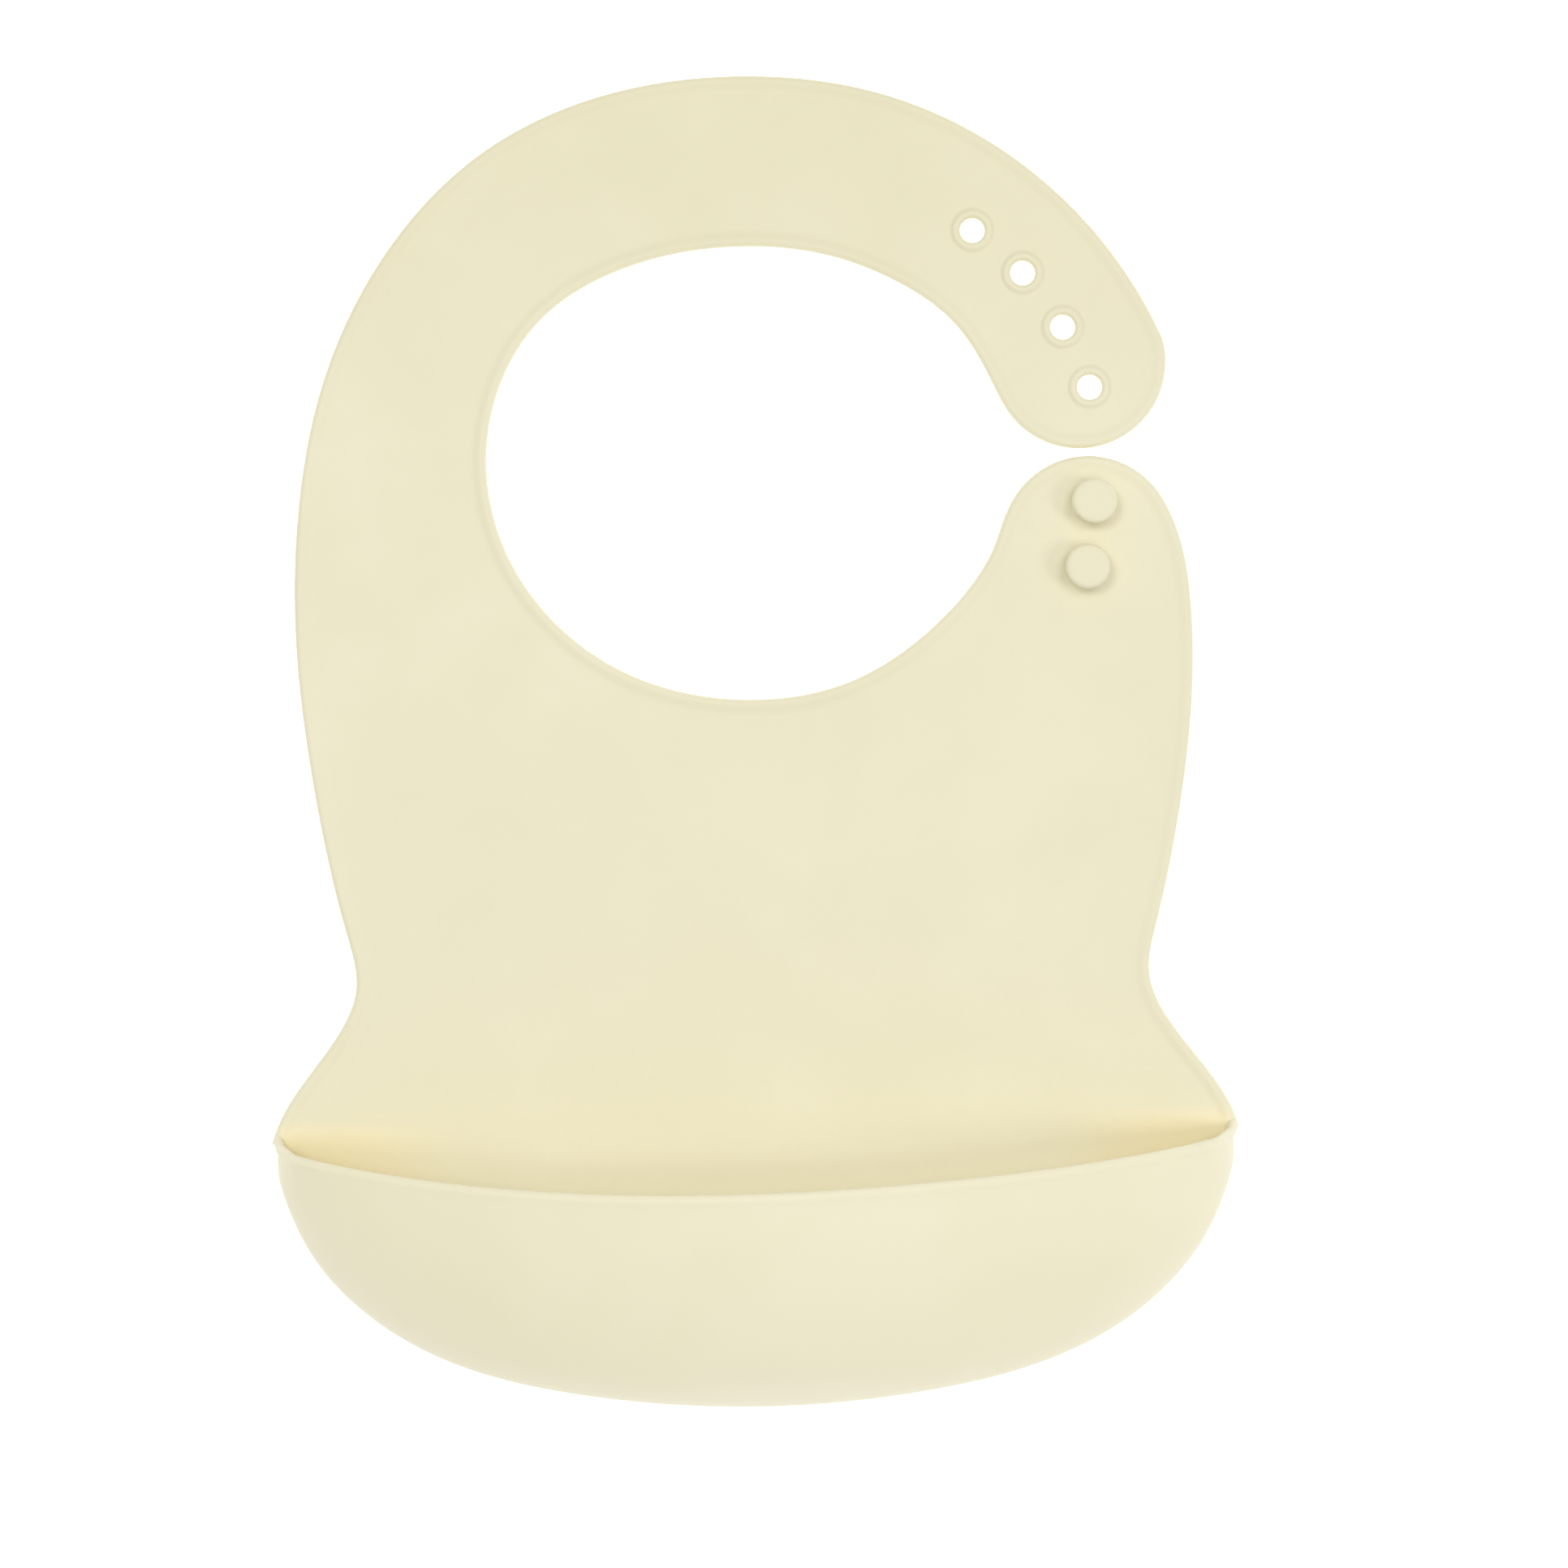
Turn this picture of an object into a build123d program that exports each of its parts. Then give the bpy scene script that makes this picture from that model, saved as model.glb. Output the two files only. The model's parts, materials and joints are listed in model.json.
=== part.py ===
"""Silicone baby bib with a catch pocket and a stud-and-hole neck strap.

The bib lies on its back, front face up.  +X runs across it towards the fastener's side, +Y from the
pocket towards the neck and +Z out of the front face.  The origin is on the rest plane, midway along
and across.  The soft moulding is cut into sections along the lines where it folds, each section
hinged to the next just above its front face.
"""
from build123d import *
from math import cos, radians, sin
import os

os.makedirs("parts", exist_ok=True)

# ---------------------------------------------------------------- driving dimensions (mm)
SHEET = 1.8                 # thickness of the flat sheet
BEAD_TOP = 2.5              # height of the rim bead above the rest plane
BEAD_WIDTH = 2.6            # width of the rim bead
FOLD_GAP = 0.3              # free gap between two sections at a fold line
FAR = 600.0                 # larger than the bib, for cutting tools

BOTTOM_Y = -151.2           # lowest point of the pocket; the bib is twice this long
WAIST_Y = -55.6             # fold between chest and pouch
TAB_FOLD_Y = 24.5           # fold at the root of the stud tab
SHOULDER_Y = 58.8           # fold across the left strap
NECK_CENTRE = (-1.9, 58.8)  # middle of the neck opening; the strap's folds point at it
STRAP_MIDDLE = 72.0         # distance from there to the strap's middle line
CROWN_FOLD_DEG = 112.0      # direction of the fold left of the crown
END_FOLD_DEG = 57.0         # direction of the fold before the first hole
TIP_RADIUS = 19.8           # rounded ends of the long strap and of the stud tab

HOLE_RADIUS = 2.85
BOSS_RADIUS = 4.8           # raised ring round each hole
BOSS_TOP = 2.4
HOLES = [(53.1, 115.0), (64.4, 105.1), (73.3, 92.6), (79.2, 78.8)]

STUDS = {"upper_stud": (79.4, 52.4), "lower_stud": (77.6, 37.6)}
STEM_RADIUS = 2.7
STEM_LENGTH = 3.2           # from the sheet to the underside of the head
HEAD_RADIUS = 5.1
HEAD_THICKNESS = 3.0
HEAD_ROUND = 0.9            # rounding of the head's top edge

POCKET_DEPTH = 38.0         # height of the pocket's front wall above the rest plane
POCKET_BASE = 5.0           # straight lower part of the pocket wall, below the domed part
POCKET_WALL = 2.0
POCKET_TOP_Y = -90.2        # level of the pocket's two corners
LIP_CORNER_Y = -91.0        # the lip's ends, at the corners
LIP_MIDDLE_Y = -99.6        # the lip's lowest point, on the centre line
LIP_BEAD = 0.6              # the lip's bead stands this proud of the wall
FLAP_HALF_WIDTH = 72.0      # the part of the front wall that flexes
FLAP_AXIS = (-148.2, 3.0)   # Y and Z of its hinge axis, which runs along X
FLAP_ROOT_RADIUS = 20.0     # the flexing part starts this far from that axis

# ---------------------------------------------------------------- outline points
# One side of the chest, from the pocket's corner to above the waist, mirrored for the other side.
CORNER = (110.3, -90.4)
FLARE = [(104.8, -79.2), (95.8, -67.2), (90.5, -55.2), (92.4, -43.2), (96.6, -25.2), (99.7, -7.2)]
# The pocket's bottom edge, from its lowest point to just below the corner, also mirrored.
POCKET_EDGE = [(0, BOTTOM_Y), (25.0, -149.9), (44.0, -147.2), (61.0, -143.2), (79.6, -135.2),
               (94.8, -123.2), (103.3, -111.2), (108.0, -99.2), (109.5, -92.2)]
# The outer edge of the long strap: up the left side, over the crown, down to the rounded tip.
STRAP_OUTER = [(-102.7, 20.8), (-101.9, 52.5), (-95.5, 83.3), (-81.1, 111.8), (-58.9, 134.4),
               (-30.0, 147.5), (1.5, 151.2), (32.8, 146.7), (61.1, 132.8), (83.9, 110.6)]
STRAP_TIP_CENTRE = (76.9, 84.7)
TIP_START_DEG = 14.0        # where the strap's outer edge runs into the tip's arc
TIP_END_DEG = -142.0        # where the tip's arc runs into the neck edge
# The neck edge: from the strap's tip round the opening to the stud tab.
NECK_EDGE = [(57.0, 80.3), (48.8, 93.8), (36.1, 103.5), (21.5, 109.6), (-2.0, 112.3), (-25.4, 108.2),
             (-45.9, 96.2), (-57.2, 75.5), (-57.3, 52.1), (-46.7, 30.8), (-28.2, 15.9), (-2.0, 9.1),
             (22.0, 12.2), (42.3, 24.6), (57.0, 43.4)]
TAB_TIP_CENTRE = (78.3, 43.4)
TAB_START_DEG = 148.0       # where the neck edge runs into the tab's arc
TAB_END_DEG = 28.0          # where the tab's arc runs into its outer edge
TAB_OUTER = [(99.0, 44.8), (101.5, 28.8)]


def on_circle(centre, radius, degrees):
    """The point of a circle in the given direction."""
    return centre[0] + radius * cos(radians(degrees)), centre[1] + radius * sin(radians(degrees))


def clockwise(degrees):
    """Unit tangent of a circle at the given direction, travelling clockwise."""
    return sin(radians(degrees)), -cos(radians(degrees))


# ---------------------------------------------------------------- sheet outline, rim and sections
tip_start = on_circle(STRAP_TIP_CENTRE, TIP_RADIUS, TIP_START_DEG)
tip_end = on_circle(STRAP_TIP_CENTRE, TIP_RADIUS, TIP_END_DEG)
tab_start = on_circle(TAB_TIP_CENTRE, TIP_RADIUS, TAB_START_DEG)
tab_end = on_circle(TAB_TIP_CENTRE, TIP_RADIUS, TAB_END_DEG)
left_side = [(-x, y) for x, y in [CORNER] + FLARE]
right_side = FLARE[::-1] + [CORNER]

with BuildSketch() as sheet:
    with BuildLine():
        Spline(left_side + STRAP_OUTER + [tip_start])
        RadiusArc(tip_start, tip_end, TIP_RADIUS)
        Spline([tip_end] + NECK_EDGE + [tab_start],
               tangents=[clockwise(TIP_END_DEG), clockwise(TAB_START_DEG)])
        RadiusArc(tab_start, tab_end, TIP_RADIUS)
        Spline([tab_end] + TAB_OUTER + right_side)
        right_edge = Spline(POCKET_EDGE, tangents=[(1, 0), (0.1, 1)])
        left_edge = mirror(right_edge, about=Plane.YZ)
        Line(right_edge @ 1, CORNER)
        Line(left_edge @ 1, (-CORNER[0], CORNER[1]))
    make_face()

# The rim bead runs along every edge; its inner line is written as plain splines.
with BuildSketch() as rim:
    add(sheet.sketch)
    add(offset(sheet.sketch, amount=-BEAD_WIDTH, mode=Mode.PRIVATE).to_splines(), mode=Mode.SUBTRACT)

# Each fold line: a point on it, its direction in degrees and its length.
FOLDS = [
    ((0, WAIST_Y), 0, FAR),
    ((-FAR / 4, SHOULDER_Y), 0, FAR / 2),
    ((FAR / 4, TAB_FOLD_Y), 0, FAR / 2),
    (on_circle(NECK_CENTRE, STRAP_MIDDLE, CROWN_FOLD_DEG), CROWN_FOLD_DEG, STRAP_MIDDLE),
    (on_circle(NECK_CENTRE, STRAP_MIDDLE, END_FOLD_DEG), END_FOLD_DEG, STRAP_MIDDLE),
]
with BuildSketch() as sections:
    add(sheet.sketch)
    for point, direction, length in FOLDS:
        with Locations(Location(point, direction)):
            Rectangle(length, FOLD_GAP, mode=Mode.SUBTRACT)


def section_at(x, y):
    """The section of the cut sheet that holds a point."""
    return next(face for face in sections.faces() if face.is_inside((x, y, 0)))


flat = {
    "pouch": section_at(0, POCKET_TOP_Y),
    "chest": section_at(0, 0),
    "tab": section_at(*TAB_TIP_CENTRE),
    "shoulder": section_at(*on_circle(NECK_CENTRE, STRAP_MIDDLE, (180 + CROWN_FOLD_DEG) / 2)),
    "crown": section_at(*on_circle(NECK_CENTRE, STRAP_MIDDLE, (CROWN_FOLD_DEG + END_FOLD_DEG) / 2)),
    "end": section_at(*STRAP_TIP_CENTRE),
}
bead = {name: face & rim.sketch for name, face in flat.items()}

# ---------------------------------------------------------------- flat sections with their rim bead
with BuildPart() as chest_panel:
    extrude(flat["chest"], amount=SHEET)
    extrude(bead["chest"], amount=BEAD_TOP)
chest_panel.part.label = "chest_panel"
export_step(chest_panel.part, "parts/chest_panel.step")

with BuildPart() as shoulder_strap:
    extrude(flat["shoulder"], amount=SHEET)
    extrude(bead["shoulder"], amount=BEAD_TOP)
shoulder_strap.part.label = "shoulder_strap"
export_step(shoulder_strap.part, "parts/shoulder_strap.step")

with BuildPart() as crown_strap:
    extrude(flat["crown"], amount=SHEET)
    extrude(bead["crown"], amount=BEAD_TOP)
crown_strap.part.label = "crown_strap"
export_step(crown_strap.part, "parts/crown_strap.step")

with BuildPart() as hole_strap:
    extrude(flat["end"], amount=SHEET)
    extrude(bead["end"], amount=BEAD_TOP)
    with Locations(*HOLES):
        Cylinder(BOSS_RADIUS, BOSS_TOP, align=(Align.CENTER, Align.CENTER, Align.MIN))
        Cylinder(HOLE_RADIUS, FAR, mode=Mode.SUBTRACT)
hole_strap.part.label = "hole_strap"
export_step(hole_strap.part, "parts/hole_strap.step")

with BuildPart() as stud_tab:
    extrude(flat["tab"], amount=SHEET)
    extrude(bead["tab"], amount=BEAD_TOP)
stud_tab.part.label = "stud_tab"
export_step(stud_tab.part, "parts/stud_tab.step")

# ---------------------------------------------------------------- mushroom studs of the fastener
for name, (x, y) in STUDS.items():
    with BuildPart(Plane((x, y, SHEET))) as stud:
        Cylinder(STEM_RADIUS, STEM_LENGTH, align=(Align.CENTER, Align.CENTER, Align.MIN))
        with Locations((0, 0, STEM_LENGTH)):
            Cylinder(HEAD_RADIUS, HEAD_THICKNESS, align=(Align.CENTER, Align.CENTER, Align.MIN))
        fillet(stud.edges().sort_by(Axis.Z)[-1], radius=HEAD_ROUND)
    stud.part.label = name
    export_step(stud.part, f"parts/{name}.step")

# ---------------------------------------------------------------- pouch's back panel
with BuildPart() as pouch_back:
    extrude(flat["pouch"], amount=SHEET)
    with BuildSketch():
        add(bead["pouch"])
        with Locations((0, POCKET_TOP_Y + FAR / 2)):
            Rectangle(FAR, FAR, mode=Mode.INTERSECT)
    extrude(amount=BEAD_TOP)
pouch_back.part.label = "pouch_back"
export_step(pouch_back.part, "parts/pouch_back.step")

# ---------------------------------------------------------------- pocket wall
# Half of the pocket's plan is turned about the Y axis to a half round dome, which is then flattened
# to the pocket's depth and stands on a low straight base of the same plan.
with BuildSketch() as half_plan:
    add(sheet.sketch)
    with Locations((FAR / 2, POCKET_TOP_Y - FAR / 2)):
        Rectangle(FAR, FAR, mode=Mode.INTERSECT)
with BuildPart() as dome:
    revolve(half_plan.sketch, axis=Axis.Y, revolution_arc=-180)
    scale(by=(1, 1, (POCKET_DEPTH - POCKET_BASE) / CORNER[0]))
with BuildPart() as pocket_form:
    extrude(half_plan.sketch, amount=POCKET_BASE)
    mirror(about=Plane.YZ)
    add(dome.part.moved(Location((0, 0, POCKET_BASE))))


def resized(step):
    """The pocket's form with its outside moved out by a step, or in if the step is negative."""
    sides = (CORNER[0], POCKET_TOP_Y - BOTTOM_Y, POCKET_DEPTH)
    factors = tuple(1 + step / side for side in sides)
    return scale(pocket_form.part, by=factors, about=(0, POCKET_TOP_Y, 0))


# Plans of all that is below the curve of the pocket's lip, and of all that is below the lip's bead.
with BuildSketch() as below_lip:
    with BuildLine():
        lip = ThreePointArc((-CORNER[0], LIP_CORNER_Y), (0, LIP_MIDDLE_Y), (CORNER[0], LIP_CORNER_Y))
        Polyline(lip @ 0, (-FAR, LIP_CORNER_Y), (0, -FAR), (FAR, LIP_CORNER_Y), lip @ 1)
    make_face()
below_bead = below_lip.sketch.moved(Location((0, -BEAD_WIDTH)))

# The wall is what is left round a slightly smaller form, above the sheet and below the lip.
outside = resized(LIP_BEAD)
inside = resized(-POCKET_WALL)
with BuildPart() as pocket_shell:
    add(outside)
    extrude(below_bead, amount=FAR, mode=Mode.SUBTRACT)
    add(pocket_form.part & extrude(below_bead, amount=FAR, mode=Mode.PRIVATE))
    add(inside, mode=Mode.SUBTRACT)
    extrude(below_lip.sketch, amount=FAR, mode=Mode.INTERSECT)
    split(bisect_by=Plane.XY.offset(SHEET), keep=Keep.TOP)


def flap_space(half_width, root_radius):
    """The space of the wall's flexing middle: between two upright planes, outside a cylinder round
    the flap's axis, so that the flap swings in and out without rubbing on the rest of the wall."""
    root = Cylinder(root_radius, FAR, rotation=(0, 90, 0), mode=Mode.PRIVATE)
    box = Box(2 * half_width, FAR, FAR, align=(Align.CENTER, Align.MIN, Align.MIN), mode=Mode.PRIVATE)
    return (box - root).moved(Location((0, *FLAP_AXIS)))


with BuildPart() as pocket_side_wall:
    add(pocket_shell.part)
    add(flap_space(FLAP_HALF_WIDTH + FOLD_GAP, FLAP_ROOT_RADIUS), mode=Mode.SUBTRACT)
pocket_side_wall.part.label = "pocket_side_wall"
export_step(pocket_side_wall.part, "parts/pocket_side_wall.step")

with BuildPart() as pocket_front_wall:
    add(pocket_shell.part)
    add(flap_space(FLAP_HALF_WIDTH, FLAP_ROOT_RADIUS + FOLD_GAP), mode=Mode.INTERSECT)
pocket_front_wall.part.label = "pocket_front_wall"
export_step(pocket_front_wall.part, "parts/pocket_front_wall.step")
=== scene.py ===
import json
from collections import Counter
from math import cos, pi, radians, sin

import bpy
import numpy as np
from mathutils.geometry import delaunay_2d_cdt
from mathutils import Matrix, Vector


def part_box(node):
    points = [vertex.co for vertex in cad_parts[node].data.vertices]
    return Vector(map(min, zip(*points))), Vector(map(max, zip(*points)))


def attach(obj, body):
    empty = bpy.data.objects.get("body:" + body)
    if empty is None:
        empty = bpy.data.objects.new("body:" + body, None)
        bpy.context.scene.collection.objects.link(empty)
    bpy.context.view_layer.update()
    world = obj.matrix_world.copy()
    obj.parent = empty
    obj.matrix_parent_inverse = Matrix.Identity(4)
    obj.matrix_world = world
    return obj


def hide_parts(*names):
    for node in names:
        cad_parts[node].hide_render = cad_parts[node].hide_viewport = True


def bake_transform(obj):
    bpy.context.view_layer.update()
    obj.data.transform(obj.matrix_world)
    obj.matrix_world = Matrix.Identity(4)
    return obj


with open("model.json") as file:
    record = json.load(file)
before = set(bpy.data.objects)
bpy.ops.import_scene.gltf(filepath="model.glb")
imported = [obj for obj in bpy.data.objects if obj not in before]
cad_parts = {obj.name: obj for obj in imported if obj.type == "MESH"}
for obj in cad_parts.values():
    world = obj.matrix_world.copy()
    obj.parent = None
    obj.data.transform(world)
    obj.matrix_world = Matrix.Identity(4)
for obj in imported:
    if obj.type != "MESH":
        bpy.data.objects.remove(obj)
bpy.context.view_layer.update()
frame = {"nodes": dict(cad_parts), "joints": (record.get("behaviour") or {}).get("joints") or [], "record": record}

MM = 0.001
# Mesh attribute with each point's place at rest, so that the textures bend with the sheet.
REST_PLACE = "rest_place"

# ---------------------------------------------------------------- shapes of the moulding (mm)
SHEET = 1.8                 # thickness of the flat sheet
STEP = 1.0                  # spacing of the points along every edge
FINE_STEP = STEP / 4        # and of the outline that they are taken from
GRID = 2.6                  # spacing of the points inside the flat faces
FOLD_STEP = 1.3             # spacing of the rows of points where the sheet bends
FOLD_MARGIN = 1.5           # those rows go on this far past the bend
FOLD_LENGTH = 130           # and this far each way along it
GRID_MARGIN = 0.8           # and the grid starts this far beyond them
EDGE_GAP = 0.9              # points inside a face stay this far from its edge
HOLE_GAP = 0.7              # and this far from a hole
SMALLEST_TURN = 0.002       # thinner triangles are dropped (square mm, twice their area)
CORNER_SPREAD = 4           # length each way over which the rim's direction is averaged
SHORTEST_EDGE = 0.35        # shorter edges of the CAD outline are left out
HOLE_REACH = 3.5            # so are edges nearer than this to the middle of a hole
CUT_REACH = 0.2             # and edges nearer than this to a fold line

# The free edge's section, from the flat front face over the bead and round to the back face.
RIM = [(5.4, 1.8), (4.2, 1.8), (3.6, 1.82), (3.1, 1.88), (2.6, 2.0), (2.1, 2.14), (1.6, 2.26),
       (1.15, 2.3), (0.75, 2.24), (0.42, 2.06), (0.18, 1.76), (0.05, 1.4), (0.0, 1.05),
       (0.05, 0.6), (0.2, 0.28), (0.45, 0.08), (0.85, 0.0), (1.6, 0.0)]
# The section of a hole, from the flat front face over the raised ring, through and to the back face.
BOSS = [(6.4, 1.8), (5.5, 1.8), (5.1, 1.84), (4.8, 1.98), (4.5, 2.22), (4.2, 2.36), (3.85, 2.4),
        (3.45, 2.36), (3.15, 2.24), (2.94, 2.02), (2.86, 1.7), (2.85, 1.1), (2.88, 0.5),
        (3.0, 0.2), (3.25, 0.03), (3.6, 0.0), (4.4, 0.0)]
# The section of a stud above the sheet, from the flare at its foot to the middle of its head.
STUD = [(4.3, -0.6), (4.3, -0.02), (3.7, 0.06), (3.2, 0.28), (2.9, 0.6), (2.74, 1.1), (2.7, 1.9),
        (2.72, 2.6), (2.95, 3.05), (3.5, 3.22), (4.3, 3.3), (4.75, 3.42), (5.0, 3.7), (5.1, 4.15),
        (5.1, 5.0), (5.04, 5.45), (4.86, 5.82), (4.55, 6.06), (4.15, 6.17), (3.4, 6.2),
        (1.7, 6.16), (0.0, 6.15)]
AROUND = 64                 # points round a hole or a stud

# The pocket wall: a half dome on a low straight base, as the CAD builds it.
POCKET_TOP_Y = -90.2        # level of the pocket's two corners
POCKET_BASE = 5.0           # height of the straight base
POCKET_WALL = 2.0           # thickness of the wall
RIM_HEIGHT = 2.5            # the base is only as high as the rim's bead at the corners
CORNER_RUN = 14.0           # length along the edge over which it reaches its full height
NOTCH_START = 2.0           # length over which the sheet's edge follows the wall's notch
BEAD_FADE = 4.0             # length over which the free edge's bead runs out below a corner
NOTCH = 0.9                 # the wall's ends are set in this far from the rounded end of the free edge
NOTCH_RUN = 10.0            # and come out to the outline over this length
CORNER_BEAD = 1.2           # radius of the bead that turns from the free edge onto the lip
CORNER_BEAD_THIN = 0.4      # how much thinner it is at both ends
BEAD_ON_EDGE = (16, 13, 10, 7, 4.5, 2.5, 1)         # its points, by length from the corner, on the edge
BEAD_ON_LIP = (1.6, 3, 5, 7, 9.5, 12, 15, 18)       # and by distance from the corner, on the lip
BEAD_SIDES = 20             # points round it
BEAD_ROUNDINGS = 3          # times that the corners of its path are cut
BEAD_TAPER = 0.45           # share of its length over which each end gets thinner
LIP_CORNER_Y = -91.0        # level of the lip's ends
LIP_MIDDLE_Y = -99.6        # and of its middle
LIP_LEAN = 0.6              # the lip sits this much lower on the left half and higher on the right
EDGE_RADIUS = (0.6, 4.2)    # rounding of the bottom edge, at the corners and along the pocket
EDGE_RUN = 20.0             # length over which that rounding grows
FOOT = 0.6                  # the wall's foot reaches this far under the sheet
FOOT_TUCK = 0.5             # and its edge goes this much further in and up
WALL_ROWS = 44              # rows of points from the edge to the lip
ROW_SPREAD = 1.8            # power that puts the rows closer together near the edge
WALL_COLUMNS = 300          # columns of faces from corner to corner
END_SHARE = 0.8             # how much closer the columns stand near the corners
LIP_TAPER = 9.0             # sections shorter than this have a thinner lip
# The lip's bead: distance back from its edge, and how proud of the wall it stands.
LIP_ROLL = [(3.0, 0.04), (2.6, 0.16), (2.2, 0.36), (1.8, 0.52), (1.4, 0.6), (1.1, 0.58)]
LIP_ZONE = 3.6              # the wall's even rows stop this far from the lip's edge
LIP_NOSE = 1.1              # reach of the lip's rounded nose
INNER_REACH = 0.985         # the inner face ends at this share of the way to the lip's edge
LIP_BEAD_RUN = 25.0         # the lip's bead runs out over this length from a corner
LIP_BEAD_LEFT = 0.2         # to this share of its full size
INNER_FILLET = 3.0          # radius of the fillet inside the pocket
EDGE_TURNS, NOSE_TURNS, FILLET_TURNS = 10, 12, 8    # rows round each of the three roundings
FILLET_SINK = 0.05          # the fillet ends this far below the sheet's front face
FILLET_TUCK = (0.3, 0.7)    # and its edge goes this much further in and down

# How far each side of a fold line the sheet bends, and where neighbouring pieces meet.
BEND = {"waist_fold": 8.0, "shoulder_flex": 7.0, "stud_tab_flex": 6.0, "crown_flex": 7.0,
        "strap_end_flex": 6.5}
SEAM_SHOULDER_Y = 46.0      # the body meets the strap at this level
SEAM_TAB_Y = 16.4           # and the stud tab at this one
SEAM_CROWN_DEG = 148.0      # the strap's seams lie in these directions from the neck's middle
SEAM_END_DEG = 84.0

joints = {j["name"]: j for j in frame["joints"]}
mounts = {m["name"]: np.array(m["pos_m"][:2]) / MM for m in frame["record"]["mounts"]}
HOLES = [mounts[f"hole_{i}"] for i in (1, 2, 3, 4)]
STUDS = {"upper_stud": mounts["upper_stud_head"], "lower_stud": mounts["lower_stud_head"]}
NECK = mounts["neck_opening"]


def fold_line(name):
    """A point on a fold line and its direction, seen from above, in mm."""
    joint = joints[name]
    return np.array(joint["pos_m"][:2]) / MM, np.array(joint["axis"][:2], float)


def off_line(points, line):
    """Signed distance of points from a line, positive to its left."""
    origin, along = line
    away = np.asarray(points, float) - origin
    return along[0] * away[..., 1] - along[1] * away[..., 0]


def smoothstep(x):
    """0 below 0, 1 above 1, and an S-shaped curve between."""
    x = np.clip(x, 0.0, 1.0)
    return x * x * (3 - 2 * x)


# ---------------------------------------------------------------- the bib's outline, from the CAD
def edge_of_back_face(node):
    """Edges round a flat section's back face, as pairs of points, without holes and fold cuts."""
    mesh = frame["nodes"][node].data
    at = [tuple(np.round(np.array(v.co) / MM, 3)) for v in mesh.vertices]
    count = Counter()
    for face in mesh.polygons:
        if all(abs(at[v][2]) < 0.01 for v in face.vertices):
            for a, b in face.edge_keys:
                count[tuple(sorted((at[a][:2], at[b][:2])))] += 1
    edges = [e for e, uses in count.items() if uses == 1]
    edges = [e for e in edges
             if all(np.hypot(*(np.array(e[0]) - hole)) > HOLE_REACH for hole in HOLES)]
    return [e for e in edges
            if all(np.abs(off_line(e, fold_line(name))).max() > CUT_REACH for name in BEND)]


def closed_loop(edges):
    """One closed loop through all edges, with the small gaps at the fold cuts bridged."""
    links = {}
    for a, b in edges:
        links.setdefault(a, []).append(b)
        links.setdefault(b, []).append(a)
    loose = [p for p, others in links.items() if len(others) == 1]
    while loose:
        a = loose.pop()
        b = min(loose, key=lambda p: (p[0] - a[0]) ** 2 + (p[1] - a[1]) ** 2)
        loose.remove(b)
        links[a].append(b)
        links[b].append(a)
    start = min(links)
    loop, previous, here = [start], start, links[start][0]
    while here != start:
        loop.append(here)
        step = [p for p in links[here] if p != previous] or [previous]
        previous, here = here, step[0]
    return np.array(loop)


def resampled(loop, step):
    """Evenly spaced points on a smooth closed curve through the loop's points.

    The curve is a cubic between each two points, with its direction at a point taken from the
    slopes before and after it."""
    ahead = np.roll(loop, -1, 0)
    size = np.hypot(*(ahead - loop).T)
    loop = loop[size > SHORTEST_EDGE]
    ahead, behind = np.roll(loop, -1, 0), np.roll(loop, 1, 0)
    size = np.hypot(*(ahead - loop).T)
    before = np.roll(size, 1)
    slope_in = (loop - behind) / before[:, None]
    slope_out = (ahead - loop) / size[:, None]
    tangent = (slope_in * size[:, None] + slope_out * before[:, None]) / (size + before)[:, None]
    where = np.concatenate([[0], np.cumsum(size)])
    count = int(where[-1] / step)
    stations = np.linspace(0, where[-1], count, endpoint=False)
    i = np.searchsorted(where, stations, side="right") - 1
    h = size[i][:, None]
    t = (stations - where[i])[:, None] / h
    a, b = loop[i], ahead[i]
    ta, tb = tangent[i], np.roll(tangent, -1, 0)[i]
    return ((2 * t ** 3 - 3 * t ** 2 + 1) * a + (t ** 3 - 2 * t ** 2 + t) * h * ta
            + (3 * t ** 2 - 2 * t ** 3) * b + (t ** 3 - t ** 2) * h * tb)


FLAT_NODES = ["pouch_back", "chest_panel", "stud_tab", "shoulder_strap", "crown_strap", "hole_strap"]
outline = closed_loop([e for node in FLAT_NODES for e in edge_of_back_face(node)])
if np.sum(outline[:, 0] * np.roll(outline[:, 1], -1) - outline[:, 1] * np.roll(outline[:, 0], -1)) < 0:
    outline = outline[::-1]
outline = resampled(outline, FINE_STEP)
outline = np.roll(outline, -int(np.argmin(outline[:, 0])), 0)
COUNT = len(outline)

forward = np.roll(outline, -1, 0) - np.roll(outline, 1, 0)
forward /= np.hypot(*forward.T)[:, None]
inward = np.stack([-forward[:, 1], forward[:, 0]], 1)
spread = int(CORNER_SPREAD / FINE_STEP)
inward = sum(np.roll(inward, k, 0) for k in range(-spread, spread + 1))
inward /= np.hypot(*inward.T)[:, None]

# The outline starts at the pocket's left corner and runs round the pocket to its right corner.
right_corner = int(np.argmax(outline[:, 0]))
pocket_length = FINE_STEP * right_corner
HALF_WIDTH = outline[right_corner, 0]


def below_corner(i):
    """Length along the pocket's edge from an outline point to the nearer corner, or 0 above it."""
    run = FINE_STEP * (np.asarray(i) % COUNT)
    return np.where(run < pocket_length, np.minimum(run, pocket_length - run), 0.0)


def edge_radius(run):
    """Rounding of the pocket's bottom edge, by length from a corner."""
    return EDGE_RADIUS[0] + (EDGE_RADIUS[1] - EDGE_RADIUS[0]) * smoothstep(run / EDGE_RUN)


def notch(run):
    """How far the wall is set in from the outline, by length from a corner."""
    return NOTCH * (1 - smoothstep(run / NOTCH_RUN))


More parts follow.
